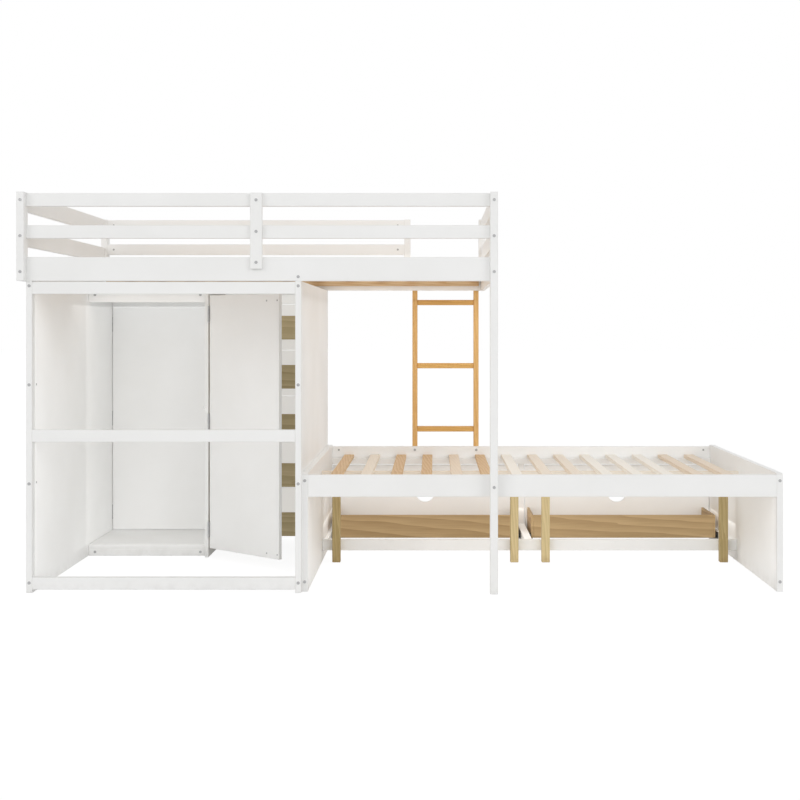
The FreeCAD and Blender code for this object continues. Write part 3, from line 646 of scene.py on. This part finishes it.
def seen_directly(tree):
    """1 where a ray comes from the camera, a mirror or a window, and 0 where it only lights."""
    ray = add(tree, "LightPath").outputs
    seen = maths(tree, "MAXIMUM", ray["Is Camera Ray"], ray["Is Glossy Ray"])
    return maths(tree, "MAXIMUM", seen, ray["Is Transmission Ray"])


world = bpy.data.worlds.new("studio")
bpy.context.scene.world = world
world.use_nodes = True
sky = world.node_tree
sky.nodes.clear()
soft_light = add(sky, "Background", {"Color": WHITE, "Strength": SKY_STRENGTH}).outputs[0]
white_ground = add(sky, "Background", {"Color": WHITE, "Strength": 1.0}).outputs[0]
sky_parts = {0: seen_directly(sky), 1: soft_light, 2: white_ground}
mixed_sky = add(sky, "MixShader", sky_parts).outputs[0]
add(sky, "OutputWorld", {"Surface": mixed_sky})
print("sky strength", SKY_STRENGTH)

# %% A white floor that takes a shadow
FLOOR_SIZE = 60
FLOOR_DROP = 0.0005
FLOOR_GREY = (0.86, 0.86, 0.86, 1.0)
GLOW_STRENGTH, GLOW_SHARE = 1.09, 0.85

shape = bmesh.new()
bmesh.ops.create_grid(shape, x_segments=1, y_segments=1, size=FLOOR_SIZE)
floor = mesh_object("studio_floor", shape)
floor.location.z = -FLOOR_DROP

floor_white = bpy.data.materials.new("floor_white")
floor_white.use_nodes = True
tree = floor_white.node_tree
tree.nodes.clear()
matt = add(tree, "BsdfDiffuse", {"Color": FLOOR_GREY}).outputs[0]
glow = add(tree, "Emission", {"Color": WHITE, "Strength": GLOW_STRENGTH}).outputs[0]
veil = add(tree, "MixShader", {0: GLOW_SHARE, 1: matt, 2: glow}).outputs[0]
mixed_floor = add(tree, "MixShader", {0: seen_directly(tree), 1: matt, 2: veil}).outputs[0]
add(tree, "OutputMaterial", {"Surface": mixed_floor})
floor.data.materials.append(floor_white)
print("floor", FLOOR_DROP, "m below the feet")

# %% [markdown]
# ## Lamps
# Three far lamps, one behind the camera and one to each side, make the near faces a little
# brighter than the sides, as they are in the photograph. The open wardrobe, the drawer bay, the
# spaces under and over the low bed and the bunk would turn dark without the walls of a real
# studio, so each gets soft flat lamps that no camera sees. A standing lamp shines to the front,
# and a level one up or down. In the names below, behind means nearer to the wall side, from which
# the camera looks.

# %% Far lamps
def far_lamp(name, direction, spread, strength):
    """A lamp so far away that its light is even over the whole bed."""
    lamp = bpy.data.lights.new(name, "SUN")
    lamp.energy = strength
    lamp.angle = math.radians(spread)
    holder = bpy.data.objects.new(name, lamp)
    holder.rotation_euler = Vector(direction).to_track_quat("-Z", "Y").to_euler()
    bpy.context.collection.objects.link(holder)


far_lamp("front_lamp", (0.0, 1.0, -0.06), spread=20, strength=0.06)
far_lamp("left_lamp", (0.62, 0.75, -0.25), spread=40, strength=0.63)
far_lamp("right_lamp", (-0.62, 0.75, -0.25), spread=40, strength=0.63)
print("three far lamps")

# %% Soft flat lamps
FRONTWARD, UPWARD, DOWNWARD = (0, 1, 0), (0, 0, 1), (0, 0, -1)


def fill_lamp(name, low, high, facing, brightness):
    """A soft flat lamp between two corners, seen by no camera. It shines along one axis."""
    lamp = bpy.data.lights.new(name, "AREA")
    lamp.shape = "RECTANGLE"
    span = Vector(high) - Vector(low)
    lamp.size, lamp.size_y = span.x, max(span.y, span.z)
    lamp.energy = brightness * math.pi * lamp.size * lamp.size_y
    holder = bpy.data.objects.new(name, lamp)
    holder.location = (Vector(low) + Vector(high)) / 2
    holder.rotation_euler = Vector(facing).to_track_quat("-Z", "Y").to_euler()
    holder.visible_camera = False
    holder.visible_glossy = False
    bpy.context.collection.objects.link(holder)


def standing_lamp(name, x, y, z, brightness):
    """A lamp at one depth, over a range along X and a range of height, that shines to the front."""
    fill_lamp(name, (x[0], y, z[0]), (x[1], y, z[1]), FRONTWARD, brightness)


def level_lamp(name, x, y, z, facing, brightness):
    """A lamp at one height, over a range along X and a range of depth."""
    fill_lamp(name, (x[0], y[0], z), (x[1], y[1], z), facing, brightness)


print("flat lamps ready")

# %% Lamps in the wardrobe and the drawer bay
LAMP_FOOT = 0.05
BEHIND_TRAYS, INSIDE_TRAYS = 0.02, 0.01
BEHIND_PARTITION = 0.25

left_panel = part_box("wardrobe_left_panel")
right_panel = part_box("wardrobe_right_panel")
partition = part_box("wardrobe_partition")
front_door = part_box("front_door")
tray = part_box("stack_drawer_1_box")
wardrobe = (left_panel[1].x, partition[0].x)
bay = (partition[1].x, right_panel[0].x)
tall = (LAMP_FOOT, partition[1].z)
deep = (partition[0].y - BEHIND_PARTITION, front_door[0].y)
standing_lamp("wardrobe_fill", wardrobe, left_panel[0].y, tall, brightness=0.5)
standing_lamp("front_door_fill", wardrobe, partition[0].y, tall, brightness=0.2)
level_lamp("wardrobe_top_fill", wardrobe, deep, front_door[1].z, DOWNWARD, brightness=0.34)
level_lamp("wardrobe_base_fill", wardrobe, deep, front_door[0].z, UPWARD, brightness=0.24)
standing_lamp("drawer_bay_fill", bay, tray[0].y - BEHIND_TRAYS, tall, brightness=0.26)
standing_lamp("drawer_fronts_fill", bay, tray[1].y - INSIDE_TRAYS, tall, brightness=0.62)
print("six lamps in the wardrobe and the bay")

# %% Lamps under the low bed
BEHIND_FRONTS, CLOSE_TO_FRONTS = 0.06, 0.01
BEHIND_STRETCHER = 0.15
GAP_BRIGHTNESS = 1.0

low_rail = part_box("bed_back_rail")
bed_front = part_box("bed_drawer_left_front")
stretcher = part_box("bed_stretcher")
bed = (low_rail[0].x, low_rail[1].x)
below_rail = (LAMP_FOOT, low_rail[0].z)
above_tray_foot = (left_tray[0].z, low_rail[0].z)
standing_lamp("under_bed_fill", bed, low_rail[1].y, below_rail, brightness=0.46)
standing_lamp("bed_drawers_fill", bed, stretcher[1].y, below_rail, brightness=0.16)
standing_lamp("bed_fronts_fill", bed, bed_front[0].y - BEHIND_FRONTS, above_tray_foot,
              brightness=0.27)
behind_trays = (stretcher[0].y - BEHIND_STRETCHER, left_tray[0].y)
level_lamp("deep_fill", bed, behind_trays, low_rail[0].z, DOWNWARD, brightness=0.35)
beside_trays = (stretcher[1].y, bed_front[0].y - CLOSE_TO_FRONTS)
tray_gaps = ((bed[0], left_tray[0].x), (left_tray[1].x, right_tray[0].x),
             (right_tray[1].x, bed[1]))
for number, gap in enumerate(tray_gaps, 1):
    level_lamp(f"tray_gap_fill_{number}", gap, beside_trays, left_tray[1].z, DOWNWARD,
               GAP_BRIGHTNESS)
print("seven lamps under the low bed")

# %% Lamps over the low bed and in the bunk
UNDER_BUNK = 0.05
OVER_SLATS = 0.12

head_room = left_panel[1].z - UNDER_BUNK
bunk_depth = (bunk_slats[0].y, bunk_slats[1].y)
level_lamp("over_bed_fill", bed, (low_rail[1].y, bed_front[0].y), head_room, DOWNWARD,
           brightness=0.3)
level_lamp("under_bunk_fill", (bed[0], bunk_slats[1].x), bunk_depth, head_room, UPWARD,
           brightness=0.3)
level_lamp("bunk_fill", (bunk_slats[0].x, bunk_slats[1].x), bunk_depth,
           bunk_slats[1].z + OVER_SLATS, DOWNWARD, brightness=0.22)
bpy.context.scene.view_settings.view_transform = "Standard"
print("studio ready with", len(bpy.data.lights), "lamps")
